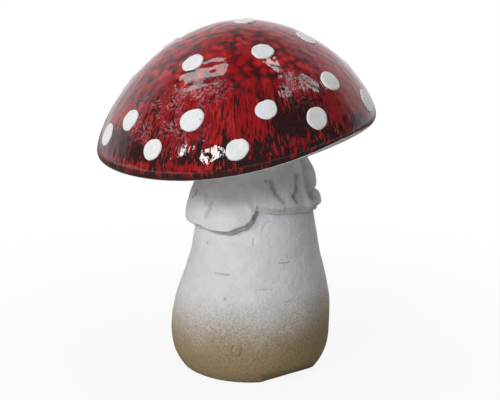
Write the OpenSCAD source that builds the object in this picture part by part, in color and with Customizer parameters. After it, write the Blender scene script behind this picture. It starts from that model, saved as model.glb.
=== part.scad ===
// Ceramic mushroom ornament: a hollow glazed cap with raised enamel spots, closed below by a
// plate and luted to a hollow cast stem, which wears a ruffled skirt. Sizes are in millimetres.
// The foot stands on z = 0 with its centre at the origin, and the front faces -Y.

/* [Cap] */
// Height of the crown above the table
crown_z = 190; // [175:1:205]
// Mean diameter of the cap, across its widest line
cap_d = 149; // [135:1:165]
// Height of the widest line above the table, at the cap's axis
rim_z = 131; // [127:0.5:137]
// Angle by which the rim rises towards +X
rim_tilt = 8; // [0:0.5:10]
// Place of the cap's axis, towards +X of the foot's centre
cap_x = -2.5; // [-5:0.5:5]
// Share of its radius by which the low side of the cap reaches further out
rim_reach = 0.065; // [0:0.005:0.1]
// Radius of the rounded edge
rim_round = 4.5; // [3.5:0.1:5.5]
// Width of the bare band on which the edge turns inwards
rim_land = 2; // [1:0.1:4]
// Wall of the dome at its crown
dome_wall = 5; // [3:0.5:7]
// How quickly the crown falls away: 1 is round, and more is more pointed
crown_power = 1.05; // [1:0.01:1.1]
// How full the shoulder is: more is a flatter slope and a sharper edge
shoulder_power = 1.4; // [1.2:0.05:1.5]
// Height of the two slow waves that the edge makes in one turn
rim_wave_two = 0.6; // [0:0.1:1]
// Height of the three shorter waves that the edge makes in one turn
rim_wave_three = 1.1; // [0:0.1:1.5]
// Thickness of the plate that closes the cap below
plate_t = 5; // [4:0.5:7]

/* [Stem] */
// Height of the shoulder that carries the cap, at the neck's axis
neck_z = 119; // [115:0.5:123]
// Diameter of the neck under the shoulder
neck_d = 52; // [50:1:60]
// Height of the waist, where the bulb ends
waist_z = 70; // [64:1:76]
// Diameter of the waist
waist_d = 68; // [62:1:74]
// Height of the bulb's upper shoulder
bulb_top_z = 45; // [38:1:50]
// Diameter at the bulb's upper shoulder
bulb_top_d = 81; // [76:1:84]
// Height at which the bulb is widest
bulb_z = 23; // [16:1:30]
// Diameter where the bulb is widest
bulb_d = 87; // [80:1:92]
// Diameter of the foot where it meets the table
foot_d = 72; // [60:1:74]
// Depth of the flat that was trimmed off the foot, on its front right
foot_flat = 4.5; // [0:0.5:6]
// Height over which that flat fades into the bulb
flat_h = 9; // [6:0.5:15]
// Height of the trimmed edge round the foot
foot_trim = 1.2; // [0.5:0.1:2]
// How far the neck leans towards +X of the foot's centre
neck_x = 3; // [0:0.5:5]
// Wall of the stem
stem_wall = 5; // [3.5:0.5:7]
// Thickness of the stem's floor
floor_t = 6; // [4:0.5:9]
// Diameter of the vent in the floor
vent_d = 24; // [12:1:40]
// Diameter of the spigot that enters the cap
spigot_d = 42; // [36:1:44]
// Wall of the spigot
spigot_wall = 4; // [3:0.5:5]
// How far the spigot rises above the plate, inside the cap
spigot_rise = 5; // [3.5:0.5:8]

/* [Skirt] */
// How far the skirt's upper edge lies below the shoulder that carries the cap
skirt_top_drop = 3; // [2:0.5:7]
// Thickness of the skirt's thin upper skin
skirt_skin_t = 0.6; // [0.4:0.1:1.2]
// Thickness of the skirt's lower lip
skirt_lip_t = 1.8; // [1:0.1:3]
// Fullness of all the skirt's lobes
lobe_scale = 1; // [0.6:0.05:1.2]

/* [Joints and spots] */
// Film of slip between two pieces of clay
slip_gap = 0.3; // [0.2:0.05:0.5]
// Width of the bead of slip round the spigot
bead_w = 4; // [2:0.5:5]
// Height of the bead of slip round the spigot
bead_h = 3; // [2:0.5:3.5]
// Height at which the underside of a spot follows the glaze
spot_gap = 0.2; // [0.15:0.05:0.3]
// Thickness of a spot of enamel
spot_t = 0.6; // [0.4:0.1:1]
// Size of every spot as a share of its listed diameter
spot_scale = 1; // [0.8:0.05:1.1]

/* [Hidden] */
// Lower edge of the skirt: azimuth, and drop below the neck's shoulder.
// It steps up where the front pouch ends.
SKIRT_EDGE = [
    [-180, 38], [-160, 38.5], [-145, 37.5], [-130, 38], [-115, 37.5], [-101, 34.5], [-92, 31], [-89, 24.5],
    [-82, 26], [-67, 27.7], [-45, 29], [-30, 30.5], [0, 33], [22, 32.5], [45, 35], [62, 33],
    [84, 38], [105, 34], [128, 36], [152, 33], [180, 38]
];

// Lobes of the skirt: azimuth and drop of the fullest place, half width in degrees,
// reach upwards and downwards, swell
LOBES = [
    [-170, 25, 42, 30, 17, 6.3],
    [-119, 29, 32, 15, 14, 6.2],
    [-62, 22, 32, 15, 7, 1.4],
    [-57, 15, 14, 11, 9, 2.2],
    [0, 18, 26, 11, 7, 3.2],
    [-3, 26, 27, 4, 9, 3.4],
    [40, 25, 28, 18, 13, 5.4],
    [84, 28, 31, 20, 14, 6.6],
    [128, 27, 31, 18, 13, 6.2]
];

// Creases, with negative depths, and ridges of the skirt: depth, width, and course as azimuth and drop
STROKES = [
    [-1.2, 1.2, [[-144, 16], [-138, 28]]],
    [-1.3, 1.4, [[-73, 10], [-70, 16], [-62, 21]]],
    [-1.5, 1.5, [[-43, 11], [-45, 17], [-50, 20]]],
    [-2, 2.2, [[-25, 7], [-25, 16], [-22, 24]]],
    [-1, 1.3, [[-24, 22.5], [12, 23]]],
    [-1, 4, [[-118, 17], [-103, 17]]],
    [-1.2, 1.6, [[62, 15], [60, 27]]],
    [-1.2, 1.6, [[107, 16], [106, 28]]],
    [-1, 1.6, [[152, 15], [153, 27]]],
    [1.5, 1.6, [[-105, 12], [-97, 21], [-91, 25]]],
    [2, 2.2, [[-38, 4], [-36, 16], [-30, 27]]]
];

// Each spot of enamel: azimuth, angle down from the crown, diameter
SPOTS = [
    [0, 0, 10.5],
    [-129, 34.5, 11.5],
    [-75, 29.5, 11.5],
    [-10, 29, 11.5],
    [-39, 53, 11.5],
    [-148, 63, 11.5],
    [-162, 73.5, 12],
    [-129, 74, 11],
    [-114, 59.5, 12.5],
    [-93, 75.5, 11.5],
    [-80, 58, 11],
    [-57, 69, 12],
    [-17, 72.5, 13],
    [20, 56, 12],
    [50, 30, 11.5],
    [30, 75, 12],
    [57, 60, 11],
    [64, 76, 12.5],
    [87, 54, 12],
    [98, 74, 11],
    [119, 61, 12],
    [108, 33, 11.5],
    [132, 76, 12],
    [144, 57, 11.5],
    [165, 74, 12],
    [162, 33, 11],
    [169, 54, 12]
];

cap_r = cap_d / 2;
slope = tan(rim_tilt);
plate_z = neck_z + slip_gap;
spigot_r = spigot_d / 2;
spigot_z = plate_z + plate_t + spigot_rise;
seat_r = neck_d / 2 + 1;
rim_land_r = rim_round + rim_land;

// Turns of the edge's two waves, and of the trimmed side of the foot, from +X
wave_two_turn = 32;
wave_three_turn = 76;
flat_turn = 52;

// Height over which the foot would reach the bulb's width, if its side ran on as steeply as it starts
flare_h = 7.5;

// How quickly the radius grows with height at the foot, the bulb's shoulder, the waist and the neck
foot_slope = (bulb_d - foot_d) / 2 / flare_h;
bulb_top_slope = -0.27;
waist_slope = -0.17;
neck_slope = -0.12;

// Heights between which the stem leans over
lean_from_z = 15;
lean_to_z = 65;

// Heights over the skirt's edge at which its lip has thinned to the skin, and its lobes tuck in
lip_reach = 16;
tuck_from = 0.4;
tuck_over = 3;

// Outline of the bead of slip, as shares of its width and height
bead_belly = 0.9;
bead_belly_h = 0.35;
bead_top = 0.3;

// Outline of a spot, as shares of its radius and height
spot_shoulder = 0.94;
spot_shoulder_h = 0.8;
spot_flat = 0.6;

// Points round each ring, and rings or steps along each surface
around = 64;
dome_steps = 14;
edge_steps = 4;
hollow_steps = 8;
stem_steps = 16;
plate_steps = 3;
skirt_around = 108;
skirt_steps = 12;
spot_around = 12;

function spot_name(k) = str("spot_", k < 9 ? "0" : "", k + 1);
function ease(t) = let (c = min(max(t, 0), 1)) c * c * (3 - 2 * c);
function mix(a, b, t) = a + (b - a) * t;
function unit(v) = v / norm(v);
function degrees(arc, radius) = arc / radius * 180 / PI;
function ring(n) = [for (i = [0 : n - 1]) 360 * i / n];

// Smooth curve between two places, each given as place, value and slope there
function curve(p, q, x) =
    let (w = q[0] - p[0], t = (x - p[0]) / w, u = 1 - t)
    u * u * (1 + 2 * t) * p[1] + t * t * (3 - 2 * t) * q[1] + t * u * w * (u * p[2] - t * q[2]);

// The cap's edge: how far out it lies, and how high its widest line is, at azimuth a
function rim_r(a) = cap_r * (1 - rim_reach * cos(a));
function rim_h(a) =
    rim_z + cap_r * slope * cos(a)
    + rim_wave_two * cos(2 * (a + wave_two_turn))
    + rim_wave_three * cos(3 * (a - wave_three_turn));

// A point of a dome with edge radius r, edge height h and crown height top,
// at azimuth a and the angle fall down from the crown
function dome_point(a, fall, r, h, top) =
    let (reach = r * pow(sin(fall), crown_power), drop = 1 - pow(max(cos(fall), 0), shoulder_power))
    [cap_x + reach * cos(a), reach * sin(a), mix(top, h, drop)];
function glaze_point(a, fall) = dome_point(a, fall, rim_r(a), rim_h(a), crown_z);
function hollow_point(a, fall) =
    dome_point(a, fall, rim_r(a) - rim_land_r, rim_h(a) - rim_round, crown_z - dome_wall);
function edge_point(a, turn) =
    let (r = rim_r(a) - rim_round * (1 - cos(turn)))
    [cap_x + r * cos(a), r * sin(a), rim_h(a) - rim_round * sin(turn)];

// The stem's outer radius at height z, and its axis, which leans from the foot to the neck
function stem_r(z) =
    let (
        bulb = [bulb_z, bulb_d / 2, 0],
        bulb_top = [bulb_top_z, bulb_top_d / 2, bulb_top_slope],
        waist = [waist_z, waist_d / 2, waist_slope]
    )
    z < bulb_z ? curve([0, foot_d / 2, foot_slope], bulb, z)
    : z < bulb_top_z ? curve(bulb, bulb_top, z)
    : z < waist_z ? curve(bulb_top, waist, z)
    : curve(waist, [neck_z, neck_d / 2, neck_slope], min(z, neck_z));
function stem_x(z) = neck_x * ease((z - lean_from_z) / (lean_to_z - lean_from_z));

// How much the flat trimmed side of the foot lies inside the round, at azimuth a and height z
function foot_cut(a, z) =
    let (chord = (foot_d / 2 - foot_flat) / max(cos(a + flat_turn), 0.1))
    max(foot_d / 2 - chord, 0) * (1 - ease(z / flat_h));

// A point at azimuth a and radius r round the stem's axis. Towards the neck the level tilts with the cap.
function stem_point(a, z, r) =
    [stem_x(z) + r * cos(a), r * sin(a), z + slope * r * cos(a) * ease((z - waist_z) / (neck_z - waist_z))];

// Where the plate's edge lies, inside the cap's own edge, and how high its lower face is there
function plate_edge(a, lift) =
    let (r = rim_r(a) - rim_land_r - slip_gap)
    [cap_x + r * cos(a), r * sin(a), rim_h(a) - rim_round + lift];

// Difference of two azimuths, from -180 to 180
function apart(a, b) = let (d = (a - b + 180) % 360) (d < 0 ? d + 360 : d) - 180;

// Drop of the skirt's lower edge at azimuth a
function skirt_edge(a) =
    let (
        w = apart(a, 0),
        k = max([for (i = [0 : len(SKIRT_EDGE) - 2]) w >= SKIRT_EDGE[i][0] ? i : 0]),
        p = SKIRT_EDGE[k],
        q = SKIRT_EDGE[k + 1]
    )
    mix(p[1], q[1], ease((w - p[0]) / (q[0] - p[0])));

// Swell of one lobe, which falls off to nothing at its reach
function lobe(a, drop, s) =
    let (
        below = drop - s[1],
        beside = pow(max(1 - pow(apart(a, s[0]) / s[2], 2), 0), 1.1),
        over = pow(max(1 - pow(below / s[3], 2), 0), 1.5),
        under = pow(max(1 - pow(below / s[4], 2), 0), 0.8)
    )
    lobe_scale * s[5] * beside * (below > 0 ? under : over);

// Share from 0 to 1 of a line drawn on the skirt, which fades over width
function stroke(a, drop, width, course) =
    let (arc = neck_d / 2 * PI / 180)
    max([for (k = [0 : len(course) - 2])
        let (
            place = [apart(a, course[k][0]) * arc, drop - course[k][1]],
            along = [(course[k + 1][0] - course[k][0]) * arc, course[k + 1][1] - course[k][1]],
            t = min(max(place * along / (along * along), 0), 1)
        )
        exp(-pow(norm(place - t * along) / width, 2))
    ]);

// How far the skirt stands off the stem
function sum(v, i = 0) = i < len(v) ? v[i] + sum(v, i + 1) : 0;
function skirt_off(a, drop) =
    let (
        above = skirt_edge(a) - drop,
        lobes = pow(sum([for (s = LOBES) pow(lobe(a, drop, s), 3)]), 1 / 3),
        lines = sum([for (s = STROKES) s[0] * stroke(a, drop, s[1], s[2])]),
        skin = mix(skirt_lip_t, skirt_skin_t, ease(above / lip_reach))
    )
    max(skin + lobes * ease((above - tuck_from) / tuck_over) + lines, skirt_skin_t);
function skirt_point(a, drop, off) = stem_point(a, neck_z - drop, stem_r(neck_z - drop) + slip_gap + off);

// A spot's own coordinates: s millimetres from its centre, in the direction turn
function spot_polar(spot, s, turn) =
    let (m = norm(glaze_point(spot[0], spot[1] + 1) - glaze_point(spot[0], spot[1])))
    spot[1] < 3 ? [turn, s / m]
    : let (fall = spot[1] - s * sin(turn) / m, p = glaze_point(spot[0], fall))
      [spot[0] + degrees(s * cos(turn), norm([p[0] - cap_x, p[1]])), fall];
function glaze_normal(a, fall) =
    let (
        p = glaze_point(a, fall),
        below = glaze_point(a, fall + 0.2) - p,
        beside = glaze_point(a + 1, fall) - p
    )
    fall < 0.5 ? [0, 0, 1] : unit(cross(below, beside));
function spot_point(spot, s, turn, lift) =
    let (q = spot_polar(spot, s, turn)) glaze_point(q[0], q[1]) + lift * glaze_normal(q[0], q[1]);
function spot_edge(spot, turn) =
    spot_scale * spot[2] / 2 * (1 + 0.04 * sin(2 * turn + 3 * spot[0]) + 0.03 * sin(3 * turn + 5 * spot[1]));

// Skin between rings of points, in order up the outside and down the inside
function band_faces(n, first, second) =
    [for (i = [0 : n - 1]) let (j = (i + 1) % n) each [
        [first + i, second + i, second + j],
        [first + i, second + j, first + j]
    ]];

// Solid of a closed loop of rings, such as a collar
module ring_solid(rings) {
    n = len(rings[0]);
    m = len(rings);
    polyhedron(
        points = [for (r = rings) each r],
        faces = [for (k = [0 : m - 1]) each band_faces(n, k * n, ((k + 1) % m) * n)],
        convexity = 6
    );
}

// Solid whose rings close on a point at each end, such as a bowl
module bowl_solid(start, rings, end) {
    n = len(rings[0]);
    m = len(rings);
    polyhedron(
        points = concat([start], [for (r = rings) each r], [end]),
        faces = concat(
            [for (i = [0 : n - 1]) [0, 1 + i, 1 + (i + 1) % n]],
            [for (k = [0 : m - 2]) each band_faces(n, 1 + k * n, 1 + (k + 1) * n)],
            [for (i = [0 : n - 1]) [1 + (m - 1) * n + i, 1 + m * n, 1 + (m - 1) * n + (i + 1) % n]]
        ),
        convexity = 6
    );
}

// Glazed dome of the cap, hollow below, with its rounded edge
module cap_dome() {
    az = ring(around);
    inside = [for (k = [1 : hollow_steps]) [for (a = az) hollow_point(a, 90 * k / hollow_steps)]];
    edge = [for (k = [0 : edge_steps - 1]) [for (a = az) edge_point(a, 90 * (1 - k / edge_steps))]];
    outside = [for (k = [0 : dome_steps - 1]) [for (a = az) glaze_point(a, 90 * (1 - k / dome_steps))]];
    color("firebrick")
        bowl_solid(hollow_point(0, 0), concat(inside, edge, outside), glaze_point(0, 0));
}

// Unglazed plate that closes the cap round the spigot
module cap_underside() {
    az = ring(around);
    hole_r = spigot_r + slip_gap;
    below = [for (a = az) stem_point(a, plate_z, seat_r)];
    above = [for (a = az) stem_point(a, plate_z + plate_t, seat_r)];
    low_edge = [for (a = az) plate_edge(a, 0)];
    high_edge = [for (a = az) plate_edge(a, plate_t)];
    fair = [for (k = [1 : plate_steps]) k / plate_steps];
    color("gainsboro")
        ring_solid(concat(
            [[for (a = az) stem_point(a, plate_z, hole_r)], below],
            [for (t = fair) mix(below, low_edge, t)],
            [for (t = fair) mix(high_edge, above, t - fair[0])],
            [above, [for (a = az) stem_point(a, plate_z + plate_t, hole_r)]]
        ));
}

// Bead of slip that joins the spigot to the plate, inside the cap
module neck_joint() {
    az = ring(around);
    base_z = plate_z + plate_t + slip_gap;
    inner_r = spigot_r + slip_gap;
    color("silver")
        ring_solid([
            [for (a = az) stem_point(a, base_z, inner_r)],
            [for (a = az) stem_point(a, base_z, inner_r + bead_w)],
            [for (a = az) stem_point(a, base_z + bead_h * bead_belly_h, inner_r + bead_w * bead_belly)],
            [for (a = az) stem_point(a, base_z + bead_h, inner_r + bead_w * bead_top)],
            [for (a = az) stem_point(a, base_z + bead_h, inner_r)]
        ]);
}

// Hollow cast body of the stem, from the foot to the top of the spigot, before its vent is cut
module stem_shell() {
    az = ring(around);
    levels = [for (k = [0 : stem_steps]) mix(foot_trim, neck_z, pow(k / stem_steps, 1.3))];
    bores = [for (k = [0 : hollow_steps]) mix(neck_z - stem_wall, floor_t, pow(k / hollow_steps, 0.85))];
    bore_r = spigot_r - spigot_wall;
    bowl_solid(
        [0, 0, 0],
        concat(
            [[for (a = az) stem_point(a, 0, foot_d / 2 - foot_trim - foot_cut(a, 0))]],
            [for (z = levels) [for (a = az) stem_point(a, z, stem_r(z) - foot_cut(a, z))]],
            [for (z = [neck_z, spigot_z]) [for (a = az) stem_point(a, z, spigot_r)]],
            [for (z = [spigot_z, neck_z]) [for (a = az) stem_point(a, z, bore_r)]],
            [for (z = bores) [for (a = az) stem_point(a, z, stem_r(z) - stem_wall)]]
        ),
        [0, 0, floor_t]
    );
}

// Stem with the vent that lets the kiln's gases out of it and of the cap
module stem() {
    color("whitesmoke")
        difference() {
            stem_shell();
            translate([0, 0, -1])
                cylinder(d = vent_d, h = floor_t + 2, $fn = 64);
        }
}

// Ruffled skirt, pinched into lobes, round the neck under the cap
module skirt() {
    az = ring(skirt_around);
    up = [for (k = [0 : skirt_steps]) pow(k / skirt_steps, 1.5)];
    down = [0, 0.33, 0.67, 1];
    color("white")
        ring_solid(concat(
            [for (t = up) [for (a = az)
                let (drop = mix(skirt_edge(a), skirt_top_drop, t)) skirt_point(a, drop, skirt_off(a, drop))]],
            [for (t = down) [for (a = az) skirt_point(a, mix(skirt_top_drop, skirt_edge(a), t), 0)]]
        ));
}

// One raised dab of enamel on the glaze
module spot(s) {
    az = ring(spot_around);
    high = spot_gap + spot_t;
    shoulder = mix(spot_gap, high, spot_shoulder_h);
    color("ivory")
        bowl_solid(
            spot_point(s, 0, 0, spot_gap),
            [
                [for (a = az) spot_point(s, spot_edge(s, a), a, spot_gap)],
                [for (a = az) spot_point(s, spot_edge(s, a) * spot_shoulder, a, shoulder)],
                [for (a = az) spot_point(s, spot_edge(s, a) * spot_flat, a, high)]
            ],
            spot_point(s, 0, 0, high)
        );
}

cap_dome();
cap_underside();
neck_joint();
stem();
skirt();
for (k = [0 : len(SPOTS) - 1])
    spot(SPOTS[k]);
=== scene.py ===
# Ceramic mushroom ornament: glazed and spotted cap, painted stem with a ruffled skirt.
# Sizes are in millimetres in the model's own frame, and the meshes are made in metres.
import bpy
import numpy as np
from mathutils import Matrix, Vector


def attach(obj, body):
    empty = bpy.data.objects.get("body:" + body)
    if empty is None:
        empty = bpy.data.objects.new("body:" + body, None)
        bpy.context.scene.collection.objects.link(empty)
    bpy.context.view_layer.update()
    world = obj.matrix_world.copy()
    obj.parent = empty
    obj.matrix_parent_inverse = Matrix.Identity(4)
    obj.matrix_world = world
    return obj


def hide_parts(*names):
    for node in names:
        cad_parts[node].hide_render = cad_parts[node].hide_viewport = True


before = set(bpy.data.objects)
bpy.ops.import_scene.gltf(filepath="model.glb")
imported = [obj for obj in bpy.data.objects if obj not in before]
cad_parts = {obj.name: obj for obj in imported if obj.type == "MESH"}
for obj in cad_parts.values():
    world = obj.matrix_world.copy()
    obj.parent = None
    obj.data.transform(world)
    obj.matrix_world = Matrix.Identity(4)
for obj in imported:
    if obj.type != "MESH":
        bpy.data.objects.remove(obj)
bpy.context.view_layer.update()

MM = 0.001

# Cap: its crown, its edge, the shape of its slope and the plate below
CROWN_Z = 190
CAP_R = 74.5
RIM_Z = 131
RIM_TILT = 8
CAP_X = -2.5
RIM_REACH = 0.065
RIM_ROUND = 4.5
EDGE_FULLNESS = 0.70
GLAZE_SINK = 0.15
RIM_LAND = 2
DOME_WALL = 5
CROWN_POWER = 1.05
SHOULDER_POWER = 1.4
WAVE_TWO = 0.6
WAVE_THREE = 1.1
PLATE_T = 5
SEAT_MARGIN = 1

# Unevenness of surfaces made by hand: height, size across and seed
GLAZE_WAVES = [(0.15, 19, 1), (0.06, 8, 2), (0.045, 3.2, 3), (0.006, 1.6, 4)]
STEM_WAVES = [(0.22, 24, 7), (0.09, 9, 8), (0.045, 4, 9)]
SKIRT_WAVES = [(0.12, 9, 11), (0.05, 4, 12)]
PLATE_WAVE = (0.25, 14, 5)

# How many degrees above the edge the glaze's unevenness fades, and how many millimetres from
# its ends the stem's does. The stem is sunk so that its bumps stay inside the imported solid.
GLAZE_FADE = 12
STEM_FADE = 8
STEM_SINK = 0.25

# Stem: height, radius and slope of its profile's knots, from the foot to the neck
STEM_KNOTS = [(0, 36, 1), (23, 43.5, 0), (45, 40.5, -0.27), (70, 34, -0.17), (119, 26, -0.12)]
NECK_Z = 119
WAIST_Z = 70
FOOT_FLAT = 4.5
FLAT_TURN = 52
FLAT_H = 9
FOOT_TRIM = 1.2
NECK_X = 3
LEAN_FROM = 15
LEAN_OVER = 50
STEM_WALL = 5
FLOOR_T = 6
VENT_R = 12
REST_MIDDLE_R = 24
REST_R = 33
SPIGOT_R = 21
SPIGOT_WALL = 4
SPIGOT_RISE = 5
SLIP_GAP = 0.3
BEAD_W = 4
BEAD_H = 3

# Skirt: its thin upper skin, its lip, and how far it hangs below the neck's shoulder.
# The drops in the lists below are measured down from the same shoulder.
SKIRT_TOP_DROP = 3
SKIRT_SKIN = 0.6
SKIRT_R = 31
SKIRT_LIP = 1.8
SKIRT_ROLL = 1.3
SKIRT_LEAST = 0.25
THINS_OVER = 16

# The lobes start this far above the lower edge and reach their full swell over this height
LOBE_FROM = 1.0
LOBE_OVER = 2.8

# How much wider than a crease its dirt is, how much ochre the lip's roll and the band above it
# take (partly wash, partly painted shade under the lobes), how much ochre the hidden back of the
# skirt takes, and that band's start and height
SOIL_SPREAD = 1.5
ROLL_WASH_AND_SHADE = 0.4
BAND_WASH_AND_SHADE = 0.5
BACK_OCHRE = 0.3
BAND_FROM = 0.8
BAND_OVER = 2.2

# Strokes narrower than this are drawn with a shaky hand
SHAKY_WIDTH = 1.5

# Lower edge of the skirt, as azimuth and drop, with a step where the front pouch ends
SKIRT_EDGE = [
    (-180, 38), (-160, 38.5), (-145, 37.5), (-130, 38), (-115, 37.5), (-101, 34.5), (-92, 31), (-89, 24.5),
    (-82, 26), (-67, 27.7), (-45, 29), (-30, 30.5), (0, 33), (22, 32.5), (45, 35), (62, 33),
    (84, 38), (105, 34), (128, 36), (152, 33), (180, 38),
]

# Lobes of the skirt: azimuth and drop of the fullest place, half width in degrees,
# reach upwards and downwards, swell
LOBES = [
    (-170, 25, 42, 30, 17, 6.3),
    (-119, 29, 32, 15, 14, 6.2),
    (-62, 22, 32, 15, 7, 1.4),
    (-57, 15, 14, 11, 9, 2.2),
    (0, 18, 26, 11, 7, 3.2),
    (-3, 26, 27, 4, 9, 3.4),
    (40, 25, 28, 18, 13, 5.4),
    (84, 28, 31, 20, 14, 6.6),
    (128, 27, 31, 18, 13, 6.2),
]

# Creases and pits: depth, width, how dirty they are, and their course as azimuth and drop
CREASES = [
    (0.9, 0.8, 0.3, [(-144.5, 16), (-142, 21.5)]),
    (1.2, 0.9, 0.4, [(-136.5, 21), (-136, 23.6), (-138, 28)]),
    (1.2, 1.1, 0.45, [(-73, 10), (-72, 14), (-70.4, 16.3), (-66.3, 18.5), (-62.2, 21.3)]),
    (1.5, 1.3, 0.5, [(-42.5, 11), (-45, 17), (-50.7, 19.9)]),
    (0.9, 0.9, 0.8, [(-50.7, 19.9), (-47.4, 22.6)]),
    (2.0, 2.2, 0.3, [(-25, 7), (-25, 16), (-22, 24)]),
    (0.9, 1.1, 0.4, [(-24, 22.5), (12, 23)]),
    (1.9, 3.6, 0.0, [(-118, 16.5), (-103, 16.5)]),
    (1.6, 0.8, 0.8, [(-91.6, 26.5), (-91.2, 31)]),
    (0.9, 0.6, 1.0, [(-159, 14.8), (-158, 16.6)]),
    (0.7, 0.5, 1.0, [(-162, 18.6), (-161.6, 19.2)]),
    (0.5, 0.5, 0.9, [(-79, 9.4), (-78.7, 9.8)]),
    (1.2, 1.6, 0.4, [(62, 15), (60, 27)]),
    (1.2, 1.6, 0.4, [(107, 16), (106, 28)]),
    (1.0, 1.6, 0.4, [(152, 15), (153, 27)]),
]

# Ridges and nubs: height, width, and their course as azimuth and drop
RIDGES = [
    (0.9, 1.6, [(-105, 12), (-104, 15), (-97, 21), (-91, 25)]),
    (2.0, 2.2, [(-38, 4), (-36, 16), (-33, 21.4), (-30, 27)]),
    (0.9, 0.8, [(-64, 24.6), (-63.8, 25)]),
]

# Cracks, chips and pinholes of the stem: depth, width, dirt, and their course as azimuth and height
STEM_MARKS = [
    (0.45, 0.36, 0.7, [(-127, 59.6), (-121, 59.8), (-117, 59.7), (-112, 60.3)]),
    (0.40, 0.34, 0.7, [(-69, 66.5), (-64, 66.0), (-58, 65.9)]),
    (0.30, 0.34, 0.3, [(-86, 53.4), (-80, 53.4), (-76, 52.9)]),
    (0.30, 0.45, 0.4, [(-64, 45.8), (-58, 46.2)]),
    (0.60, 0.55, 0.9,
     [(-102, 23), (-102.8, 20.8), (-101.4, 18.2), (-98.4, 17.2), (-95.8, 19.4), (-95.9, 22.2)]),
    (0.35, 0.60, 0.3, [(-84, 83.8), (-80, 87.2), (-76, 88)]),
    (0.30, 0.50, 0.3, [(-92, 76), (-91.6, 79)]),
    (0.45, 0.45, 0.9, [(-113, 47.6), (-112.6, 48)]),
    (0.45, 0.45, 0.9, [(-142, 73.6), (-141.6, 74)]),
    (0.40, 0.50, 0.8, [(-134, 30), (-133.4, 30.4)]),
    (0.40, 0.50, 0.8, [(-66, 33), (-65.4, 33.4)]),
    (0.40, 0.45, 0.7, [(24, 58), (30, 58.8), (34, 58.2)]),
    (0.45, 0.50, 0.8, [(96, 44), (99, 44.8), (104, 44.4)]),
    (0.40, 0.45, 0.7, [(158, 63), (164, 62.4)]),
]

# Spots of enamel: azimuth, angle down from the crown, diameter
SPOTS = [
    (0, 0, 10.5), (-129, 34.5, 11.5), (-75, 29.5, 11.5), (-10, 29, 11.5), (-39, 53, 11.5),
    (-148, 63, 11.5), (-162, 73.5, 12), (-129, 74, 11), (-114, 59.5, 12.5), (-93, 75.5, 11.5),
    (-80, 58, 11), (-57, 69, 12), (-17, 72.5, 13), (20, 56, 12), (50, 30, 11.5),
    (30, 75, 12), (57, 60, 11), (64, 76, 12.5), (87, 54, 12), (98, 74, 11),
    (119, 61, 12), (108, 33, 11.5), (132, 76, 12), (144, 57, 11.5), (165, 74, 12),
    (162, 33, 11), (169, 54, 12),
]
SPOT_T = 0.75

# Share of a spot's radius over which its edge rounds off, and how deep it sits in the glaze
SPOT_ROUND = 0.16
SPOT_SINK = 0.25

# Redder and blacker regions of the glaze: azimuth, angle down from the crown, half widths, amount
TONES = [
    (-96, 60, 20, 11, 0.30),
    (-122, 50, 14, 10, 0.25),
    (-155, 62, 16, 8, 0.35),
    (-140, 84, 30, 5, 0.45),
    (-113, 85, 14, 4, 0.7),
    (-66, 80, 8, 4, 0.9),
    (-52, 60, 12, 8, 0.25),
    (-140, 74, 18, 7, -0.45),
    (-70, 67, 10, 9, -0.95),
    (-92, 37, 12, 5, -0.5),
    (-58, 34, 16, 8, -0.5),
    (-44, 80, 14, 5, -0.5),
    (-86, 86, 12, 3, -0.4),
    (-20, 48, 14, 18, 1.3),
    (-38, 66, 10, 8, 0.4),
    (-125, 80, 40, 6, -0.45),
    (-150, 68, 14, 7, -0.3),
    (-114, 37, 9, 5, -0.6),
    (-31, 57, 8, 7, 0.7),
]

# Regions where the glaze is finely pitted, with pink bubbles that are partly a painted highlight, in the
# same terms
PITTED = [
    (-132, 60, 19, 10, 1.0),
    (-113, 47, 14, 6, 0.8),
    (-60, 50, 12, 8, 0.5),
    (40, 55, 20, 9, 0.8),
    (130, 45, 20, 9, 0.8),
]

# Where the glaze was wiped off the rounded edge, a strip painted pale, partly as a painted reflection:
# middle, half width, and how many degrees further up its round the clay shows
WIPED_AT = -42
WIPED_HALF = 34
WIPE_TURN = 42

# The turn is the angle down the rounded edge. The hollow side has one beyond them all.
HOLLOW_TURN = 200

# Camera: what it looks at, how far off and how high it stands, and its lens
TARGET_Z = 91.7
DISTANCE = 1000
ELEVATION = 16
LENS = 133.33
SENSOR = 36


def cosd(a):
    return np.cos(np.radians(a))


def sind(a):
    return np.sin(np.radians(a))


def ease(t):
    c = np.clip(t, 0, 1)
    return c * c * (3 - 2 * c)


def mix(a, b, t):
    return a + (b - a) * t


def stack(x, y, z):
    """Points from arrays of coordinates that broadcast to one shape"""
    return np.stack(np.broadcast_arrays(x, y, z), axis=-1).astype(float)


def unit(v):
    return v / np.maximum(np.linalg.norm(v, axis=-1, keepdims=True), 1e-9)


def waves(points, size, seed, count=14):
    """Smooth unevenness from -1 to 1 whose bumps are about size across"""
    rng = np.random.default_rng(seed)
    total = 0
    for _ in range(count):
        direction = unit(rng.normal(size=3)) * 2 * np.pi / (size * rng.uniform(1.4, 2.6))
        total = total + np.sin(points @ direction + rng.uniform(0, 2 * np.pi))
    return total / np.sqrt(count)


def unevenness(points, rows):
    return sum(height * waves(points, size, seed) for height, size, seed in rows)


# Shapes of the cap, the stem and the skirt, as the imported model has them

def rim_r(a):
    return CAP_R * (1 - RIM_REACH * cosd(a))


def rim_h(a):
    slope = np.tan(np.radians(RIM_TILT))
    return (RIM_Z + CAP_R * slope * cosd(a)
            + WAVE_TWO * cosd(2 * (a + 32)) + WAVE_THREE * cosd(3 * (a - 76)))


def dome_point(a, fall, r, h, top):
    reach = r * np.maximum(sind(fall), 0) ** CROWN_POWER
    drop = 1 - np.maximum(cosd(fall), 0) ** SHOULDER_POWER
    return stack(CAP_X + reach * cosd(a), reach * sind(a), mix(top, h, drop))


def smooth_glaze(a, fall):
    return dome_point(a, fall, rim_r(a), rim_h(a), CROWN_Z)


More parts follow.
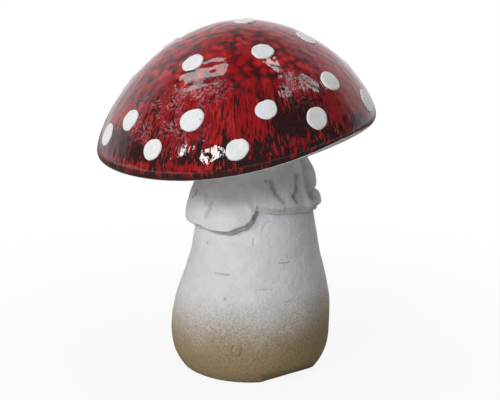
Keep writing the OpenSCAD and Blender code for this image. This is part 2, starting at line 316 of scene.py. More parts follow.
def glaze_normal(a, fall):
    f = np.maximum(fall, 0.5)
    down = smooth_glaze(a, f + 0.2) - smooth_glaze(a, f - 0.2)
    along = smooth_glaze(a + 1, f) - smooth_glaze(a - 1, f)
    return unit(np.cross(down, along))


def glaze_relief(p):
    """How far the hand-dipped glaze stands off the smooth dome"""
    return unevenness(p, GLAZE_WAVES)


def glaze_point(a, fall, lift=0):
    p = smooth_glaze(a, fall)
    fade = ease((90 - fall) / GLAZE_FADE)
    return p + glaze_normal(a, fall) * (glaze_relief(p) * fade + lift - GLAZE_SINK)[..., None]


def soft_regions(a, fall, regions):
    """Sum of soft round regions of the glaze"""
    total = 0 * fall
    for azimuth, middle, half_a, half_f, amount in regions:
        away = (apart(a, azimuth) / half_a) ** 2 + ((fall - middle) / half_f) ** 2
        total = total + amount * np.exp(-away)
    return total


def edge_point(a, turn):
    r = rim_r(a) - GLAZE_SINK - RIM_ROUND * (1 - cosd(turn) ** EDGE_FULLNESS)
    return stack(CAP_X + r * cosd(a), r * sind(a), rim_h(a) - RIM_ROUND * sind(turn) ** EDGE_FULLNESS)


def hollow_point(a, fall):
    return dome_point(a, fall, rim_r(a) - RIM_ROUND - RIM_LAND, rim_h(a) - RIM_ROUND, CROWN_Z - DOME_WALL)


def stem_r(z):
    """Smooth profile through the stem's knots"""
    r = np.zeros_like(np.asarray(z, float))
    for (z0, r0, s0), (z1, r1, s1) in zip(STEM_KNOTS, STEM_KNOTS[1:]):
        w = z1 - z0
        t = np.clip((z - z0) / w, 0, 1)
        u = 1 - t
        piece = u * u * (1 + 2 * t) * r0 + t * t * (3 - 2 * t) * r1 + t * u * w * (u * s0 - t * s1)
        r = np.where((z >= z0) | (z0 == 0), piece, r)
    return r


def stem_x(z):
    return NECK_X * ease((z - LEAN_FROM) / LEAN_OVER)


def foot_cut(a, z):
    """How much the flat trimmed side of the foot lies inside the round"""
    foot_r = STEM_KNOTS[0][1]
    chord = (foot_r - FOOT_FLAT) / np.maximum(cosd(a + FLAT_TURN), 0.1)
    return np.maximum(foot_r - chord, 0) * (1 - ease(z / FLAT_H))


def stem_point(a, z, r):
    slope = np.tan(np.radians(RIM_TILT))
    rise = slope * r * cosd(a) * ease((z - WAIST_Z) / (NECK_Z - WAIST_Z))
    return stack(stem_x(z) + r * cosd(a), r * sind(a), z + rise)


def apart(a, b):
    """Difference of two azimuths, from -180 to 180"""
    return (a - b + 180) % 360 - 180


def skirt_edge(a):
    """Drop of the skirt's lower edge"""
    w = (a + 180) % 360 - 180
    edge = np.zeros_like(w)
    for (a0, d0), (a1, d1) in zip(SKIRT_EDGE, SKIRT_EDGE[1:]):
        edge = np.where((w >= a0) & (w <= a1), mix(d0, d1, ease((w - a0) / (a1 - a0))), edge)
    return edge


def lobe(a, drop, azimuth, middle, half, up, down, swell):
    """Rounded swelling that falls off to nothing at its reach"""
    below = drop - middle
    beside = np.maximum(1 - (apart(a, azimuth) / half) ** 2, 0) ** 1.1
    over = np.maximum(1 - (below / up) ** 2, 0) ** 1.5
    under = np.maximum(1 - (below / down) ** 2, 0) ** 0.8
    return swell * beside * np.where(below > 0, under, over)


def stroke(a, drop, width, course, radius=SKIRT_R):
    """Share from 0 to 1 of a slightly shaky line on the clay, which fades over width"""
    near = np.full(np.broadcast(a, drop).shape, 1e9)
    arc = np.radians(radius)
    shake = (width < SHAKY_WIDTH) * (0.22 * np.sin(1.5 * drop + 0.2 * a) + 0.10 * np.sin(3.4 * drop + 1))
    for (a0, d0), (a1, d1) in zip(course, course[1:]):
        u = apart(a, a0) * arc + shake
        v = drop - d0 + 0.5 * shake
        du = (a1 - a0) * arc
        dv = d1 - d0
        t = np.clip((u * du + v * dv) / (du * du + dv * dv), 0, 1)
        near = np.minimum(near, (u - t * du) ** 2 + (v - t * dv) ** 2)
    return np.exp(-near / width ** 2)


def skirt_off(a, drop):
    """How far the skirt stands off the stem"""
    above = skirt_edge(a) - drop
    lobes = sum(lobe(a, drop, *row) ** 3 for row in LOBES) ** (1 / 3)
    off = mix(SKIRT_LIP, SKIRT_SKIN, ease(above / THINS_OVER))
    off = off + lobes * ease((above - LOBE_FROM) / LOBE_OVER)
    off = off + sum(height * stroke(a, drop, width, course) for height, width, course in RIDGES)
    off = off - sum(depth * stroke(a, drop, width, course) for depth, width, _, course in CREASES)
    return np.maximum(off, SKIRT_LEAST)


def skirt_soil(a, drop):
    """How much of the brown wash stays in the skirt's creases"""
    creases = [dirt * stroke(a, drop, width * SOIL_SPREAD, course) for _, width, dirt, course in CREASES]
    return np.clip(np.maximum.reduce(creases), 0, 1)


def skirt_point(a, drop, off):
    z = NECK_Z - drop
    return stem_point(a, z, stem_r(z) + SLIP_GAP + off)


def stem_marks(a, z):
    """Depth of the stem's cracks, chips and pinholes, and how much dirt they hold"""
    strokes = [(stroke(a, z, width, course, STEM_KNOTS[2][1]), depth, dirt)
               for depth, width, dirt, course in STEM_MARKS]
    depth = sum(share * depth for share, depth, _ in strokes)
    return depth, np.maximum.reduce([share * dirt for share, _, dirt in strokes])


# Meshes

def ring(n):
    return np.arange(n) * 360 / n


def make_piece(name, points, faces, attributes, material, node):
    mesh = bpy.data.meshes.new(name)
    mesh.from_pydata((points * MM).tolist(), [], faces)
    for key, values in attributes.items():
        layer = mesh.attributes.new(key, "FLOAT", "POINT")
        layer.data.foreach_set("value", np.asarray(values, np.float32).ravel())
    mesh.polygons.foreach_set("use_smooth", [True] * len(mesh.polygons))
    mesh.materials.append(material)
    mesh.update()
    piece = bpy.data.objects.new(name, mesh)
    bpy.context.collection.objects.link(piece)
    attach(piece, "root")
    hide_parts(node)


def band(n, first, second):
    """Quads between two rings of n points"""
    i = np.arange(n)
    j = (i + 1) % n
    return np.stack([first + i, first + j, second + j, second + i], axis=1).tolist()


def loop_faces(m, n):
    """Faces of m rings that close on each other"""
    return [f for k in range(m) for f in band(n, k * n, (k + 1) % m * n)]


def bowl_faces(m, n):
    """Faces of m rings with a pole before the first and one after the last"""
    i = np.arange(n)
    j = (i + 1) % n
    last = 1 + (m - 1) * n
    start = np.stack([0 * i, 1 + j, 1 + i], axis=1).tolist()
    end = np.stack([last + j, 0 * i + 1 + m * n, last + i], axis=1).tolist()
    return start + [f for k in range(m - 1) for f in band(n, 1 + k * n, 1 + (k + 1) * n)] + end


def with_poles(rings, start, end):
    return np.concatenate([[start], np.concatenate(rings), [end]])


# Materials. Places are in metres, so noise scales are per metre and bump distances in metres.

class Tree:
    """Short calls that add nodes to one material or world"""

    def __init__(self, owner):
        owner.use_nodes = True
        self.owner = owner
        self.nodes = owner.node_tree.nodes
        self.links = owner.node_tree.links

    def add(self, kind, inputs, output=0, **settings):
        node = self.nodes.new(kind)
        for key, value in settings.items():
            setattr(node, key, value)
        for key, value in inputs.items():
            self.put(node.inputs[key], value)
        return node.outputs[output]

    def put(self, socket, value):
        if isinstance(value, bpy.types.NodeSocket):
            self.links.new(value, socket)
        elif isinstance(value, tuple) and len(value) == 3 and len(socket.default_value) == 4:
            socket.default_value = (*value, 1)
        else:
            socket.default_value = value

    def set(self, **values):
        shader = self.nodes["Principled BSDF"]
        for key, value in values.items():
            self.put(shader.inputs[key.replace("_", " ")], value)

    def place(self):
        return self.add("ShaderNodeTexCoord", {}, "Object")

    def attribute(self, name):
        return self.add("ShaderNodeAttribute", {}, "Fac", attribute_name=name)

    def light_path(self, name):
        return self.add("ShaderNodeLightPath", {}, name)

    def axis(self, vector, name):
        return self.add("ShaderNodeSeparateXYZ", {"Vector": vector}, name)

    def math(self, operation, a, b=0.0, c=0.0):
        return self.add("ShaderNodeMath", {0: a, 1: b, 2: c}, operation=operation)

    def weighted(self, rows):
        """Sum of values, each times its weight"""
        total = 0.0
        for value, weight in rows:
            total = self.math("MULTIPLY_ADD", value, weight, total)
        return total

    def rest(self, value):
        return self.math("SUBTRACT", 1.0, value)

    def vector(self, operation, a, b, output=0):
        return self.add("ShaderNodeVectorMath", {0: a, 1: b}, output, operation=operation)

    def scaled(self, a, factor):
        return self.add("ShaderNodeVectorMath", {0: a, "Scale": factor}, operation="SCALE")

    def noise(self, vector, scale, detail=3.0, roughness=0.55):
        inputs = {"Vector": vector, "Scale": scale, "Detail": detail, "Roughness": roughness}
        return self.add("ShaderNodeTexNoise", inputs)

    def cells(self, vector, scale, smooth):
        inputs = {"Vector": vector, "Scale": scale, "Smoothness": smooth}
        return self.add("ShaderNodeTexVoronoi", inputs, "Distance", feature="SMOOTH_F1")

    def step(self, value, low, high, to_low=0.0, to_high=1.0):
        """Smooth passage from to_low to to_high as the value goes from low to high"""
        inputs = {"Value": value, "From Min": low, "From Max": high, "To Min": to_low, "To Max": to_high}
        return self.add("ShaderNodeMapRange", inputs, interpolation_type="SMOOTHSTEP")

    def mix(self, factor, a, b):
        return self.add("ShaderNodeMix", {0: factor, 2: a, 3: b})

    def blend(self, factor, a, b):
        return self.add("ShaderNodeMix", {0: factor, 6: a, 7: b}, 2, data_type="RGBA")

    def bump(self, height, distance, normal=None):
        inputs = {"Height": height, "Distance": distance}
        if normal is not None:
            inputs["Normal"] = normal
        return self.add("ShaderNodeBump", inputs)


GLAZE_BLACK = (0.014, 0.009, 0.008)
GLAZE_UMBER = (0.050, 0.008, 0.010)
GLAZE_SOOT = (0.020, 0.009, 0.009)
GLAZE_MAROON = (0.090, 0.010, 0.013)
GLAZE_DEEP = (0.115, 0.008, 0.010)
GLAZE_RED = (0.300, 0.010, 0.013)
GLAZE_ORANGE = (0.480, 0.024, 0.020)
BUBBLE_AND_GLINT_PINK = (0.54, 0.23, 0.28)
WIPED_CLAY_AND_REFLECTION = (0.80, 0.74, 0.75)
WIPED_ROUGHNESS = 0.35
GLAZE_IOR = 1.5

ENAMEL = (0.76, 0.78, 0.74)
ENAMEL_COOL = (0.76, 0.78, 0.82)
ENAMEL_CREAM = (0.84, 0.80, 0.66)
BRUSH_GREY = (0.55, 0.56, 0.60)
PINHOLE_BLUE = (0.25, 0.26, 0.32)

STEM_WHITE = (0.72, 0.72, 0.74)
STEM_GREY = (0.66, 0.66, 0.68)
GRAIN_LIGHT = (0.78, 0.78, 0.78)
GRAIN_DARK = (0.40, 0.38, 0.36)
SPRAY_BROWN = (0.285, 0.207, 0.106)
SPRAY_DARK = (0.232, 0.155, 0.064)
SPRAY_LIGHT = (0.405, 0.298, 0.150)
OCHRE = (0.29, 0.25, 0.16)
PAINT_SPECULAR = 0.25

CLAY_LIGHT = (0.62, 0.60, 0.58)
CLAY_DARK = (0.50, 0.49, 0.47)
CLAY_PORE = (0.34, 0.32, 0.29)
SLIP_LIGHT = (0.58, 0.55, 0.52)
SLIP_DARK = (0.45, 0.43, 0.40)
CLAY_SPECULAR = 0.2

# Direction from which the brown was sprayed on the foot
SPRAY_FROM = (0.5, -0.87, 0)


def glaze_streaks(t, place, fall):
    """Noise stretched down the meridians, in four finenesses from broad to hair"""
    centred = t.vector("SUBTRACT", place, (CAP_X * MM, 0, 0))
    flat = t.vector("MULTIPLY", centred, (1, 1, 0))
    outward = t.add("ShaderNodeVectorMath", {0: flat}, operation="NORMALIZE")
    wander = t.noise(place, 70, 2)
    height = t.add("ShaderNodeCombineXYZ", {"Z": t.math("MULTIPLY_ADD", wander, 4.0, fall)})

    def streaks(across, along, detail):
        stretched = t.vector("ADD", t.scaled(outward, across), t.scaled(height, along))
        return t.noise(stretched, 1, detail, 0.6)

    return streaks(15, 0.05, 2), streaks(38, 0.10, 2), streaks(80, 0.20, 2), streaks(150, 0.35, 1)


def glaze_cells(t, place):
    """Round cells with slightly bent outlines, as the distance from their middles"""
    nudge = t.add("ShaderNodeTexNoise", {"Vector": place, "Scale": 260.0}, 1)
    bent = t.vector("ADD", place, t.scaled(t.vector("SUBTRACT", nudge, (0.5, 0.5, 0.5)), 0.0030))
    return t.cells(bent, 235, 0.15)


def cell_redness(t, place, tone, cells):
    """Red of the cells, which crowd together in places and leave dark gaps"""
    crowd = t.math("MULTIPLY_ADD", t.noise(place, 62, 3), -1.5, 0.75)
    gaps = t.math("ADD", cells, t.math("MULTIPLY_ADD", tone, -0.25, crowd))
    return t.step(gaps, 0.42, 0.98, 1.0, 0.0)


def edge_redness(t, fall, tone, patches):
    """Share of red left where the glaze breaks to black along the edge"""
    level = t.math("MULTIPLY_ADD", tone, -5.0, t.math("MULTIPLY_ADD", patches, 26.0, fall))
    return t.step(level, 100, 109, 1.0, 0.03)


def bare_share(t, place):
    """Where the glaze was wiped off the clay below the edge, down to a last thin line of it"""
    wiped = t.math("MULTIPLY_ADD", t.noise(place, 180, 3), 16.0, t.attribute("turn"))
    line = t.math("MULTIPLY", t.step(wiped, 74, 77), t.step(wiped, 81, 85, 1.0, 0.0))
    return t.math("MULTIPLY", t.step(wiped, 58, 63), t.rest(t.math("MULTIPLY", line, 0.7)))


def glaze_material():
    """Reactive glaze: red cells on dark at the crown, red and black streaks down to the edge"""
    t = Tree(bpy.data.materials.new("reactive_glaze"))
    place = t.place()
    fall = t.attribute("fall")
    tone = t.attribute("tone")
    patches = t.noise(place, 55, 3)
    clouds = t.noise(place, 190, 3)
    cells = glaze_cells(t, place)
    broad, main, fine, hair = glaze_streaks(t, place, fall)

    # How red the glaze is: by cells above and by streaks where low is 1
    low = t.step(t.math("MULTIPLY_ADD", patches, 22.0, t.math("SUBTRACT", fall, 11.0)), 41, 53)
    blacker = t.step(fall, 66, 86, 0.0, -0.035)
    weave = t.weighted([(main, 0.45), (fine, 0.40), (broad, 0.35), (patches, 0.35), (hair, 0.18),
                        (tone, 0.16), (blacker, 1.0)])
    streak_red = t.step(weave, 0.825, 0.905)
    red = t.mix(low, cell_redness(t, place, tone, cells), streak_red)
    red = t.math("MULTIPLY", red, edge_redness(t, fall, tone, patches))

    # Shades within the red, from wine to scarlet, and within the black
    within_cell = t.math("MULTIPLY_ADD", cells, -0.45, t.math("MULTIPLY_ADD", clouds, 0.6, 0.45))
    within_streak = t.weighted([(fine, 0.6), (hair, 0.4)])
    shade = t.mix(low, within_cell, within_streak)
    hot = t.step(t.weighted([(t.noise(place, 48, 2), 0.5), (shade, 0.5)]), 0.52, 0.64)
    body = t.blend(t.step(shade, 0.36, 0.56), GLAZE_DEEP, t.blend(hot, GLAZE_RED, GLAZE_ORANGE))
    streaked = t.blend(t.step(hair, 0.42, 0.62), GLAZE_BLACK, GLAZE_UMBER)
    clouded = t.blend(t.step(clouds, 0.35, 0.65), GLAZE_SOOT, GLAZE_MAROON)
    colour = t.blend(red, t.blend(low, clouded, streaked), body)

    # Fine pink bubbles in the pitted zones, partly a painted highlight for the glints that the pits
    # scatter
    pitted = t.math("MULTIPLY", t.attribute("pitted"), t.step(t.noise(place, 130, 3), 0.40, 0.60))
    bubbles_and_glints = t.step(t.noise(place, 750, 2, 0.6), 0.48, 0.58, 0.0, 0.8)
    colour = t.blend(t.math("MULTIPLY", bubbles_and_glints, pitted), colour, BUBBLE_AND_GLINT_PINK)
    bare = bare_share(t, place)
    # The wiped clay is painted paler than the underside's clay, partly as a painted reflection along the
    # edge
    colour = t.blend(bare, colour, WIPED_CLAY_AND_REFLECTION)

    # The glaze stands a little proud on the red and is finely pitted in some zones
    threads = t.weighted([(main, 0.8), (fine, 0.15)])
    relief = t.math("MULTIPLY_ADD", cells, -0.6, t.math("MULTIPLY", threads, low))
    pits = t.math("MULTIPLY", t.noise(place, 1400, 2, 0.7), t.math("MULTIPLY_ADD", pitted, 0.96, 0.04))
    normal = t.bump(pits, 0.00014, t.bump(relief, 0.00010))
    rough = t.step(t.noise(place, 300, 3), 0.3, 0.75, 0.012, 0.04)
    t.set(Base_Color=colour, Normal=normal, IOR=GLAZE_IOR)
    t.set(Roughness=t.mix(bare, rough, WIPED_ROUGHNESS))
    return t.owner


def enamel_material():
    """Thick white enamel with faint cream and grey clouds, brush marks and pinholes"""
    t = Tree(bpy.data.materials.new("spot_enamel"))
    place = t.place()
    colour = t.blend(t.step(t.noise(place, 70, 3), 0.35, 0.65), ENAMEL, ENAMEL_COOL)
    cream = t.step(t.noise(place, 160, 3), 0.5, 0.75, 0.0, 0.35)
    colour = t.blend(cream, colour, ENAMEL_CREAM)
    stretched = t.vector("MULTIPLY", place, (1.0, 0.25, 0.35))
    brush = t.noise(stretched, 1500, 2)
    colour = t.blend(t.step(brush, 0.35, 0.5, 0.28, 0.0), colour, BRUSH_GREY)
    pinholes = t.step(t.cells(place, 95, 0.0), 0.05, 0.09, 0.5, 0.0)
    colour = t.blend(pinholes, colour, PINHOLE_BLUE)
    normal = t.bump(t.noise(place, 260, 2), 0.0002, t.bump(brush, 0.00005))
    t.set(Base_Color=colour, Normal=normal, IOR=GLAZE_IOR)
    t.set(Roughness=t.step(t.noise(place, 500, 3), 0.3, 0.7, 0.22, 0.4))
    return t.owner


def sprayed_brown(t, place, mottle, colour):
    """Colour with speckled brown over it at the foot, higher up on the side that faced the spray"""
    cloud = t.math("MULTIPLY_ADD", t.noise(place, 28, 3), 0.018, -0.009)
    cloud = t.math("MULTIPLY_ADD", t.math("ABSOLUTE", t.axis(place, "X")), -0.10, cloud)
    speckle = t.math("MULTIPLY_ADD", t.noise(place, 1400, 3, 0.75), 0.056, -0.028)
    level = t.math("ADD", t.axis(place, "Z"), t.math("ADD", cloud, speckle))
    level = t.math("MULTIPLY_ADD", t.vector("DOT_PRODUCT", place, SPRAY_FROM, "Value"), -0.16, level)
    fleck = t.step(t.noise(place, 1500, 3, 0.7), 0.40, 0.62)
    brown = t.blend(fleck, SPRAY_DARK, SPRAY_LIGHT)
    brown = t.blend(t.step(mottle, 0.35, 0.65, 0.0, 0.5), brown, SPRAY_BROWN)
    return t.blend(t.step(level, 0.0115, 0.0455, 0.96, 0.0), colour, brown)


def matte_paint(name, sprayed):
    """Chalky white paint with grain, toned ochre in the creases, ochre with painted shade along the
    skirt's lower edge, and sprayed brown at the foot
    """
    t = Tree(bpy.data.materials.new(name))
    place = t.place()
    grain = t.noise(place, 2000, 4, 0.7)
    mottle = t.noise(place, 140, 4, 0.6)
    colour = t.blend(t.step(mottle, 0.3, 0.7), STEM_GREY, STEM_WHITE)
    colour = t.blend(t.step(grain, 0.58, 0.75, 0.0, 0.5), colour, GRAIN_LIGHT)
    colour = t.blend(t.step(grain, 0.25, 0.42, 0.35, 0.0), colour, GRAIN_DARK)
    if sprayed:
        colour = sprayed_brown(t, place, mottle, colour)
    patchy = t.step(t.noise(place, 420, 4, 0.65), 0.3, 0.6, 0.45, 1.0)
    # Ochre wash in creases and cracks; along the skirt's lip and the band above it, also painted shade
    # under the lobes
    colour = t.blend(t.math("MULTIPLY", t.attribute("soil"), patchy), colour, OCHRE)
    normal = t.bump(mottle, 0.0008)
    normal = t.bump(t.noise(place, 480, 3, 0.6), 0.0005, normal)
    normal = t.bump(grain, 0.00028, normal)
    pits = t.step(t.cells(place, 160, 0.0), 0.03, 0.10)
    normal = t.bump(pits, 0.00025, normal)
    t.set(Base_Color=colour, Normal=normal, Specular_IOR_Level=PAINT_SPECULAR)
    t.set(Roughness=t.step(grain, 0.3, 0.7, 0.78, 0.92))
    return t.owner


def clay_material(name, light, dark, grain_size):
    """Bare fired clay or slip: pale, dry and grainy"""
    t = Tree(bpy.data.materials.new(name))
    place = t.place()
    cloud = t.noise(place, 60, 4)
    grain = t.noise(place, grain_size, 4, 0.7)
    colour = t.blend(t.step(cloud, 0.3, 0.7), dark, light)
    colour = t.blend(t.step(grain, 0.25, 0.45, 0.4, 0.0), colour, CLAY_PORE)
    normal = t.bump(grain, 0.0002, t.bump(cloud, 0.0008))
    t.set(Base_Color=colour, Normal=normal, Specular_IOR_Level=CLAY_SPECULAR)
    t.set(Roughness=t.step(grain, 0.3, 0.7, 0.8, 0.95))
    return t.owner


# Pieces

def make_dome(material):
    """Glazed shell, from the crown of its hollow down to the edge, round it and up to the crown"""
    n = 640
    az = ring(n)
    hollow = np.linspace(3, 90, 30)
    turns = np.concatenate([np.linspace(90, 6, 22), [3, 1]])
    falls = 90 * (1 - np.linspace(0, 1, 220)[:-1])
    rings = [hollow_point(az, f + 0 * az) for f in hollow]
    rings += [edge_point(az, turn) for turn in turns]
    rings += [glaze_point(az, f + 0 * az) for f in falls]
    points = with_poles(rings, [CAP_X, 0, CROWN_Z - DOME_WALL],
                        glaze_point(np.array([0.0]), np.array([0.0]))[0])
    fall = [90.0] * len(hollow) + list(90 + turns / 10) + list(falls)
    turn = [HOLLOW_TURN] * len(hollow) + list(turns) + [0.0] * len(falls)
    fall = np.repeat(fall, n)
    turn = np.repeat(turn, n)
    around = np.tile(az, len(rings))
    wiped = WIPE_TURN * np.exp(-(apart(around, WIPED_AT) / WIPED_HALF) ** 2)
    turn = turn + wiped * (turn > 0)
    attributes = {
        "fall": [90, *fall, 0],
        "turn": [HOLLOW_TURN, *turn, 0],
        "tone": [0, *soft_regions(around, fall, TONES), 0],
        "pitted": [0, *soft_regions(around, fall, PITTED), 0],
    }
    faces = bowl_faces(len(rings), n)
    make_piece("glazed_dome", points, faces, attributes, material, "cap_dome")


def spot_polar(spot, s, turn):
    """Azimuth and fall of the place that lies s from the spot's centre in the direction turn"""
    azimuth, fall, _ = spot
    centre = smooth_glaze(np.array(azimuth), np.array(fall))
    m = np.linalg.norm(smooth_glaze(np.array(azimuth), np.array(fall + 1)) - centre)
    if fall < 3:
        return turn + 0 * s, s / m
    falls = fall - s * sind(turn) / m
    p = smooth_glaze(np.array(azimuth) + 0 * falls, falls)
    radius = np.hypot(p[..., 0] - CAP_X, p[..., 1])
    return azimuth + np.degrees(s * cosd(turn) / radius), falls


def make_spot(k, spot, material):
    """Dab of enamel with a wavy outline, a rounded edge and a slightly uneven top"""
    n = 56
    turn = ring(n)
    rng = np.random.default_rng(100 + k)
    edge = spot[2] / 2 * (1 + 0.04 * sind(2 * turn + 3 * spot[0]) + 0.03 * sind(3 * turn + 5 * spot[1]))
    for harmonic in range(4, 10):
        edge = edge * (1 + rng.uniform(0.002, 0.010) * sind(harmonic * turn + rng.uniform(0, 360)))
    thick = SPOT_T * rng.uniform(0.85, 1.1)
    underneath = [0.5, 0.97]
    side = 0.965 + 0.035 * sind(np.linspace(0, 90, 4))
    rounding = 1 - SPOT_ROUND * np.linspace(0.12, 1, 6) ** 1.3
    share = np.concatenate([underneath, side, rounding, np.linspace(0.76, 0.08, 9)])
    inward = np.clip(1 - share, 0, 1)
    top = thick * np.sqrt(1 - np.clip(1 - inward / SPOT_ROUND, 0, 1) ** 2)
    lift = np.concatenate([[-SPOT_SINK] * 2, np.linspace(-0.2, 0.05, 4), np.maximum(top[6:], 0.08)])
    rings = []
    for s, h in zip(share, lift):
        a, f = spot_polar(spot, s * edge, turn)
        p = glaze_point(a, f, 0)
        uneven = 1 + 0.12 * waves(p, 5, 200 + k) * (h > 0)
        rings.append(glaze_point(a, f, h * uneven))
    azimuth = np.array([float(spot[0])])
    fall = np.array([float(spot[1])])
    centre = [glaze_point(azimuth, fall, h)[0] for h in (-SPOT_SINK, lift[-1])]
    points = with_poles(rings, *centre)
    name = "enamel_%02d" % (k + 1)
    node = "spot_%02d" % (k + 1)
    make_piece(name, points, bowl_faces(len(rings), n), {}, material, node)


def make_underside(material):
    """Plate of bare clay that closes the cap around the spigot"""
    n = 256
    az = ring(n)
    plate_z = NECK_Z + SLIP_GAP
    hole_r = SPIGOT_R + SLIP_GAP
    seat_r = STEM_KNOTS[-1][1] + SEAT_MARGIN
    r = rim_r(az) - RIM_ROUND - RIM_LAND - SLIP_GAP
    far = stack(CAP_X + r * cosd(az), r * sind(az), rim_h(az) - RIM_ROUND)
    near = stem_point(az, plate_z + 0 * az, seat_r)
    lift = np.array([0, 0, PLATE_T])
    out = np.linspace(0, 1, 40)
    below = [mix(near, far, t) for t in out]
    wave_height, wave_size, wave_seed = PLATE_WAVE
    wave = np.array([0, 0, wave_height])
    below = [p + wave * (waves(p, wave_size, wave_seed) - 1)[:, None] * ease(t * 6) * ease((1 - t) * 12)
             for p, t in zip(below, out)]
    above = [mix(near, far, t) + lift for t in out[::-1]]
    rings = [stem_point(az, plate_z + 0 * az, hole_r)] + below + above
    rings += [stem_point(az, plate_z + PLATE_T + 0 * az, hole_r)]
    points = np.concatenate(rings)
    faces = loop_faces(len(rings), n)
    make_piece("clay_underside", points, faces, {}, material, "cap_underside")


def make_bead(material):
    """Bead of slip around the spigot, on top of the plate and out of sight"""
    n = 160
    az = ring(n)
    base_z = NECK_Z + SLIP_GAP + PLATE_T + SLIP_GAP
    inner_r = SPIGOT_R + SLIP_GAP
    arc = np.linspace(0, 90, 10)
    rings = [stem_point(az, base_z + 0 * az, inner_r)]
    for t in arc:
        wide = BEAD_W * (0.3 + 0.7 * cosd(t)) * (1 + 0.06 * sind(5 * az) + 0.04 * sind(11 * az + 40))
        rings.append(stem_point(az, base_z + BEAD_H * sind(t) + 0 * az, inner_r + wide))
    rings.append(stem_point(az, base_z + BEAD_H + 0 * az, inner_r))
    points = np.concatenate(rings)
    make_piece("slip_bead", points, loop_faces(len(rings), n), {}, material, "neck_joint")


def make_stem(material):
    """Hollow stem, from the vent in its rest face up the outside, over the spigot and down the bore"""
    n = 720
    az = ring(n)
    spigot_z = NECK_Z + SLIP_GAP + PLATE_T + SPIGOT_RISE
    bore_r = SPIGOT_R - SPIGOT_WALL
    levels = mix(FOOT_TRIM, NECK_Z, np.linspace(0, 1, 380))
    rest = REST_R - foot_cut(az, 0)
    rings = [stack(r * cosd(az), r * sind(az), 0) for r in (VENT_R, REST_MIDDLE_R, rest)]
    for share in np.linspace(0, 75, 5):
        r = STEM_KNOTS[0][1] - FOOT_TRIM * (1 - sind(share)) - foot_cut(az, 0)
        rings.append(stem_point(az, FOOT_TRIM * (1 - cosd(share)) + 0 * az, r))
    soil = [np.zeros(n * len(rings))]
    for z in levels:
        r = stem_r(z + 0 * az) - foot_cut(az, z)
        p = stem_point(az, z + 0 * az, r)
        uneven = unevenness(p, STEM_WAVES) - STEM_SINK
        fade = ease(z / STEM_FADE) * ease((NECK_Z - z) / STEM_FADE)
        depth, dirt = stem_marks(az, z)
        rings.append(stem_point(az, z + 0 * az, r + uneven * fade - depth))
        soil.append(dirt)
    rings += [stem_point(az, z + 0 * az, SPIGOT_R) for z in (NECK_Z, spigot_z)]
    rings += [stem_point(az, z + 0 * az, bore_r) for z in (spigot_z, NECK_Z)]
    for z in np.linspace(NECK_Z - STEM_WALL, FLOOR_T, 40):
        rings.append(stem_point(az, z + 0 * az, stem_r(z + 0 * az) - STEM_WALL))
    rings.append(stack(VENT_R * cosd(az), VENT_R * sind(az), FLOOR_T))
    points = np.concatenate(rings)
    soil = np.concatenate(soil)
    soil = np.pad(soil, (0, len(points) - len(soil)))
    faces = loop_faces(len(rings), n)
    make_piece("painted_stem", points, faces, {"soil": soil}, material, "stem")


def make_skirt(material):
    """Ruffled skirt, from the roll of its lower edge up its outside and back down against the stem"""
    n = 900
    az = ring(n)
    edge = skirt_edge(az)
    lip = edge - SKIRT_ROLL
    rings = []
    soil = []
    for roll in np.linspace(0, 80, 6):
        off = skirt_off(az, lip) - SKIRT_ROLL * (1 - sind(roll))
        rings.append(skirt_point(az, edge - SKIRT_ROLL * (1 - cosd(roll)), off))
        # The lip's roll gets ochre that is partly wash and partly painted shade under the lobes
        soil.append(ROLL_WASH_AND_SHADE + 0 * az)
    for t in np.linspace(0, 1, 150):
        drop = mix(lip, SKIRT_TOP_DROP, t)
        off = skirt_off(az, drop)
        p = skirt_point(az, drop, off)
        uneven = unevenness(p, SKIRT_WAVES)
        rings.append(skirt_point(az, drop, off + uneven * ease(t * 12) * ease((1 - t) * 8)))
        # The band above the lip gets ochre that is partly wash and partly painted shade under the lobes
        band_wash_and_shade = BAND_WASH_AND_SHADE * (1 - ease((lip - drop - BAND_FROM) / BAND_OVER))
        soil.append(np.maximum(skirt_soil(az, drop), band_wash_and_shade))
    for t in np.linspace(1, 0, 12):
        rings.append(skirt_point(az, mix(edge, SKIRT_TOP_DROP, t), 0 * az))
        soil.append(BACK_OCHRE + 0 * az)
    points = np.concatenate(rings)
    faces = loop_faces(len(rings), n)
    soil = np.concatenate(soil)
    make_piece("painted_skirt", points, faces, {"soil": soil}, material, "skirt")


# Stage, lights and camera

# Lamps: name, azimuth, elevation, distance, width, height, power, and whether the glaze mirrors
# them. The sizes of the lamps and the stage are in metres.
LAMPS = [
    ("window_left", -139, 24, 1.4, 0.15, 0.19, 2.6, True),
    ("window_middle", -117.5, 25, 1.4, 0.10, 0.17, 1.5, True),
    ("window_right", -111.5, 25.5, 1.4, 0.11, 0.20, 1.95, True),
    ("left_box", 165, 63, 1.2, 0.26, 0.54, 2.5, True),
    ("right_bar_top", 30, 74, 1.2, 0.26, 0.09, 0.55, True),
    ("right_bar_front", -23, 64, 1.2, 0.08, 0.20, 0.38, True),
    ("right_bar_middle", 3, 63, 1.2, 0.05, 0.14, 0.17, True),
    ("right_bar_side", 10, 52, 1.2, 0.10, 0.20, 0.47, True),
    ("fill", -124, 26, 1.4, 0.5, 0.5, 8.0, False),
    ("back_fill", 62, 28, 1.4, 0.6, 0.5, 6.0, False),
]

# Height of the point that all lamps face
LAMPS_FACE_Z = 0.13

WHITE = (1.0, 1.0, 1.0)
FLOOR_GREY = (0.62, 0.62, 0.62)
FLOOR_MIRRORED = (0.20, 0.20, 0.20)
FLOOR_HALF = 3.0
AMBIENT = 0.15
MIRRORED_TINT = (1.0, 0.94, 0.98)


def aim(obj, target):
    obj.rotation_euler = (Vector(target) - obj.location).to_track_quat("-Z", "Y").to_euler()


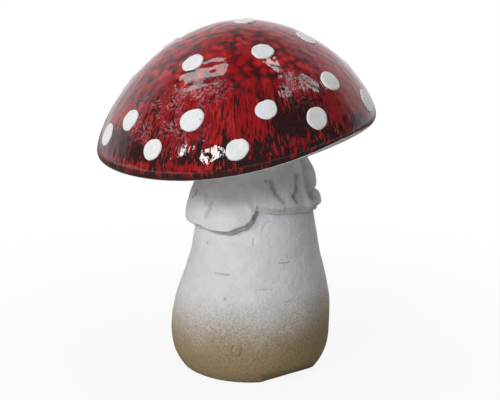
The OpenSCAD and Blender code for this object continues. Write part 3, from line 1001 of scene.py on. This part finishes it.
def softbox(name, azimuth, elevation, distance, width, height, power, mirrored):
    """Area light that faces the cap, from a direction given in the model's frame"""
    data = bpy.data.lights.new(name, "AREA")
    data.shape = "RECTANGLE"
    data.size = width
    data.size_y = height
    data.energy = power
    light = bpy.data.objects.new(name, data)
    light.visible_glossy = mirrored
    bpy.context.collection.objects.link(light)
    centre = Vector((0, 0, LAMPS_FACE_Z))
    flat = distance * cosd(elevation)
    offset = (flat * cosd(azimuth), flat * sind(azimuth), distance * sind(elevation))
    light.location = centre + Vector(offset)
    aim(light, centre)


def make_floor():
    """Pale floor that shows white to the camera, less so near the object, where its shadow falls"""
    mesh = bpy.data.meshes.new("floor")
    corners = [(x * FLOOR_HALF, y * FLOOR_HALF, 0) for x, y in ((-1, -1), (1, -1), (1, 1), (-1, 1))]
    mesh.from_pydata(corners, [], [(0, 1, 2, 3)])
    t = Tree(bpy.data.materials.new("pale_floor"))
    t.nodes.remove(t.nodes["Principled BSDF"])
    away = t.vector("DISTANCE", t.place(), (0, 0, 0), "Value")
    glossy = t.light_path("Is Glossy Ray")
    mirrored = t.math("MULTIPLY", t.step(away, 0.30, 1.50), glossy)
    white = t.math("MULTIPLY", t.step(away, 0.06, 0.30, 0.90, 1.0), t.light_path("Is Camera Ray"))
    seen = t.math("MAXIMUM", white, mirrored)
    diffuse = t.add("ShaderNodeBsdfDiffuse", {"Color": t.blend(glossy, FLOOR_GREY, FLOOR_MIRRORED)})
    glow = t.add("ShaderNodeEmission", {"Color": WHITE, "Strength": 1.0})
    both = t.add("ShaderNodeMixShader", {0: seen, 1: diffuse, 2: glow})
    t.put(t.nodes["Material Output"].inputs["Surface"], both)
    mesh.materials.append(t.owner)
    floor = bpy.data.objects.new("floor", mesh)
    bpy.context.collection.objects.link(floor)


def make_world():
    """White behind the object and in its reflections, and a plain level of light on it"""
    t = Tree(bpy.data.worlds.new("studio"))
    bpy.context.scene.world = t.owner
    direction = t.add("ShaderNodeTexCoord", {}, "Generated")
    behind = t.step(t.axis(direction, "Y"), 0.1, 0.6, 0.12, 1.0)
    overhead = t.step(t.axis(direction, "Z"), 0.5, 0.85, 1.0, 0.35)
    glossy = t.light_path("Is Glossy Ray")
    seen = t.math("MAXIMUM", t.light_path("Is Camera Ray"), t.light_path("Is Transmission Ray"))
    level = t.mix(glossy, AMBIENT, t.math("MULTIPLY", behind, overhead))
    background = t.nodes["Background"].inputs
    t.put(background["Strength"], t.mix(seen, level, 1.0))
    t.put(background["Color"], t.blend(glossy, WHITE, MIRRORED_TINT))


def make_camera():
    data = bpy.data.cameras.new("camera")
    data.lens = LENS
    data.sensor_width = SENSOR
    camera = bpy.data.objects.new("camera", data)
    bpy.context.collection.objects.link(camera)
    back = Vector((0, -cosd(ELEVATION), sind(ELEVATION)))
    target = Vector((0, 0, TARGET_Z * MM))
    camera.location = target + back * DISTANCE * MM
    aim(camera, target)
    bpy.context.scene.camera = camera


make_camera()
make_dome(glaze_material())
enamel = enamel_material()
for index, row in enumerate(SPOTS):
    make_spot(index, row, enamel)
make_underside(clay_material("bare_clay", CLAY_LIGHT, CLAY_DARK, 1300))
make_bead(clay_material("slip", SLIP_LIGHT, SLIP_DARK, 900))
make_stem(matte_paint("stem_paint", True))
make_skirt(matte_paint("skirt_paint", False))
for lamp in LAMPS:
    softbox(*lamp)
make_floor()
make_world()
bpy.context.scene.view_settings.view_transform = "Standard"
